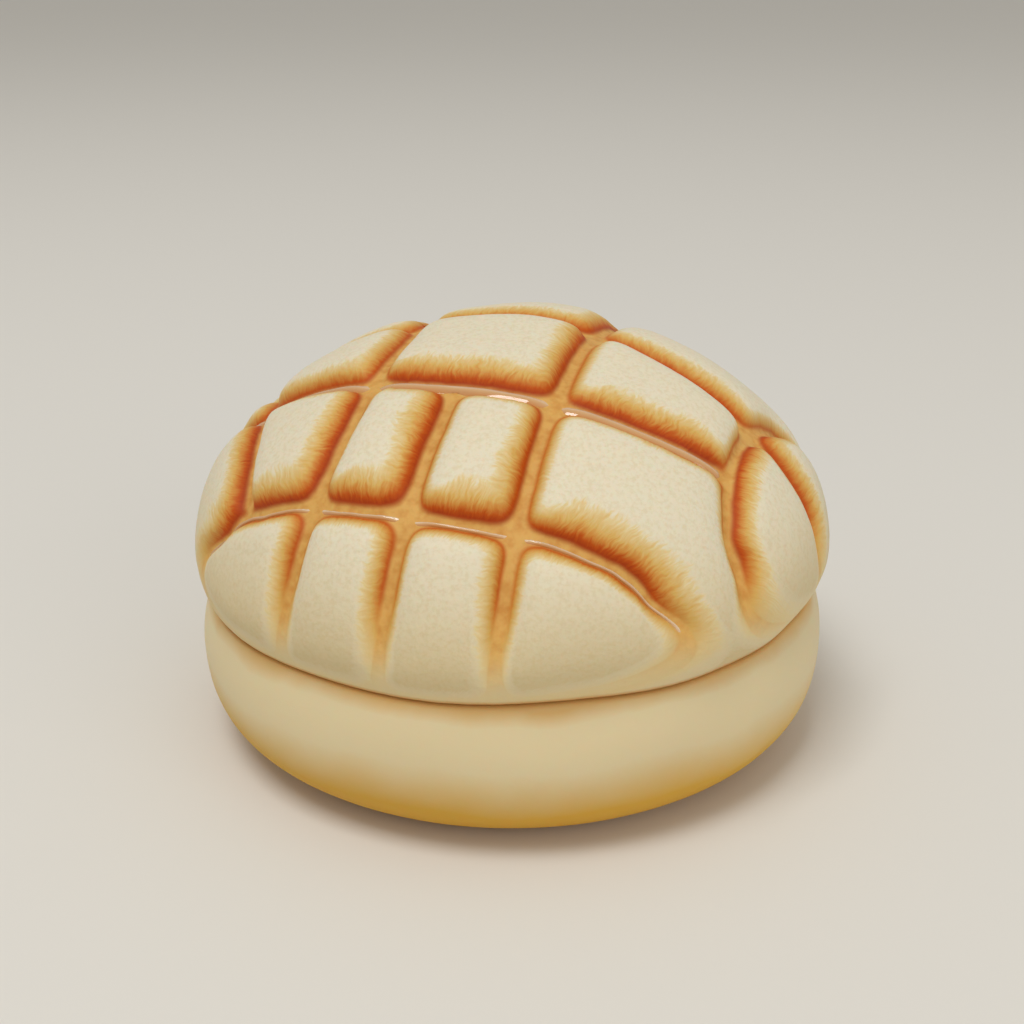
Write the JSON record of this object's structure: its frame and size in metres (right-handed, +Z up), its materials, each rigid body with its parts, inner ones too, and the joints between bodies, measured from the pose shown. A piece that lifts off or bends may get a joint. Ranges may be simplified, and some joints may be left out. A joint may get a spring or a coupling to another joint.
{
  "type": "melon pan",
  "caption": "Round sweet bun: a smooth bread base with a flat foot, under a domed cookie-dough crust scored into rounded pads.",
  "frame": {"origin": "middle of the flat foot that the bun rests on", "axes": "+Z up out of the table, -Y towards the side shown in the picture, +X to its right"},
  "size_m": [0.1004, 0.101, 0.0657],
  "materials": {
    "bread": "soft baked bread dough, smooth and cream coloured, golden at the foot",
    "cookie_crust": "baked cookie dough, cream on the pads and browned in the scored grooves"
  },
  "bodies": {
    "root": {"bun": "bread", "cookie_crust": "cookie_crust"}
  },
  "joints": []
}
